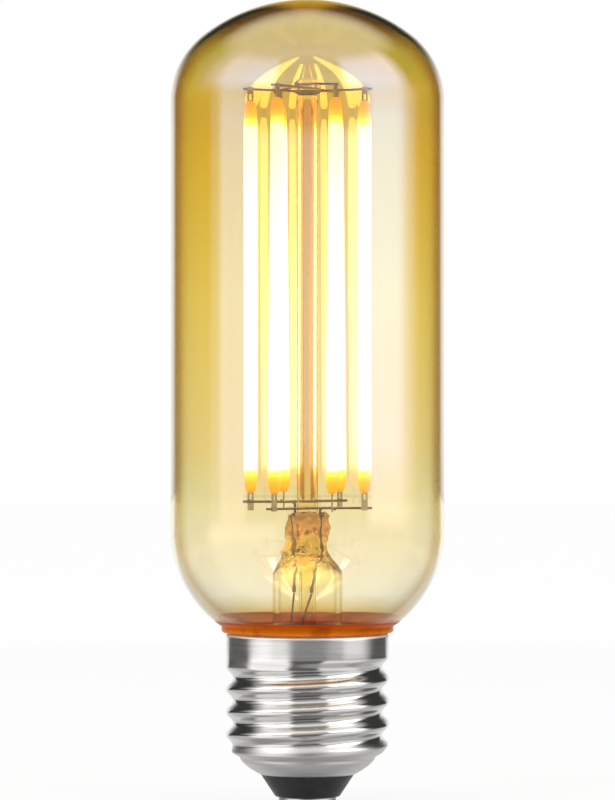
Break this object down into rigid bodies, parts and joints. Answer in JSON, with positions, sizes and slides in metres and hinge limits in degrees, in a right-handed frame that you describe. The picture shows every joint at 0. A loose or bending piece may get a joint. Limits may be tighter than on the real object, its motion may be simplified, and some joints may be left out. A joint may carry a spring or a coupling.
{
  "type": "tubular light bulb",
  "caption": "Tubular amber glass filament lamp with upright light rods on a glass stem and a round-threaded screw cap that screws into a lamp holder.",
  "frame": {"origin": "centre of the flat of the centre contact, at the bottom of the screw cap", "axes": "+Z along the lamp's axis from the contact to the glass crown, front of the lamp towards -Y, +X to the right"},
  "size_m": [0.044, 0.044, 0.1286],
  "materials": {
    "amber_glass": "thin blown glass with an amber tint",
    "stem_glass": "clear drawn and pressed glass",
    "lit_phosphor": "phosphor coating, lit",
    "wire_metal": "drawn nickel-iron wire and strip",
    "copper": "thin copper lead",
    "nickel": "bright nickel plate on rolled sheet",
    "black_glass": "moulded black glass",
    "contact_metal": "tinned sheet",
    "cement": "cured basing cement",
    "board": "printed circuit board",
    "chip_plastic": "moulded epoxy",
    "can_sleeve": "sleeved can",
    "resistor_coat": "dipped coating"
  },
  "bodies": {
    "root": {"glass_envelope": "amber_glass", "stem_flare": "stem_glass", "exhaust_tube": "stem_glass", "centre_post": "stem_glass", "filament_right": "lit_phosphor", "filament_back_right": "lit_phosphor", "filament_back_left": "lit_phosphor", "filament_left": "lit_phosphor", "filament_front_left": "lit_phosphor", "filament_front_right": "lit_phosphor", "upper_tab_right": "wire_metal", "upper_tab_back_right": "wire_metal", "upper_tab_back_left": "wire_metal", "upper_tab_left": "wire_metal", "upper_tab_front_left": "wire_metal", "upper_tab_front_right": "wire_metal", "lower_tab_right": "wire_metal", "lower_tab_back_right": "wire_metal", "lower_tab_back_left": "wire_metal", "lower_tab_left": "wire_metal", "lower_tab_front_left": "wire_metal", "lower_tab_front_right": "wire_metal", "bridge_wire_right": "wire_metal", "bridge_wire_back_right": "wire_metal", "bridge_wire_back_left": "wire_metal", "inner_lead_right": "wire_metal", "inner_lead_left": "wire_metal", "branch_wire_front": "wire_metal", "branch_wire_back": "wire_metal", "outer_lead_right": "copper", "outer_lead_left": "copper", "screw_shell": "nickel", "insulator": "black_glass", "centre_contact": "contact_metal", "basing_cement": "cement", "driver_board": "board", "rectifier": "chip_plastic", "driver_chip": "chip_plastic", "smoothing_capacitor": "can_sleeve", "fuse_resistor": "resistor_coat", "contact_lead": "copper", "shell_lead": "copper"}
  },
  "joints": []
}
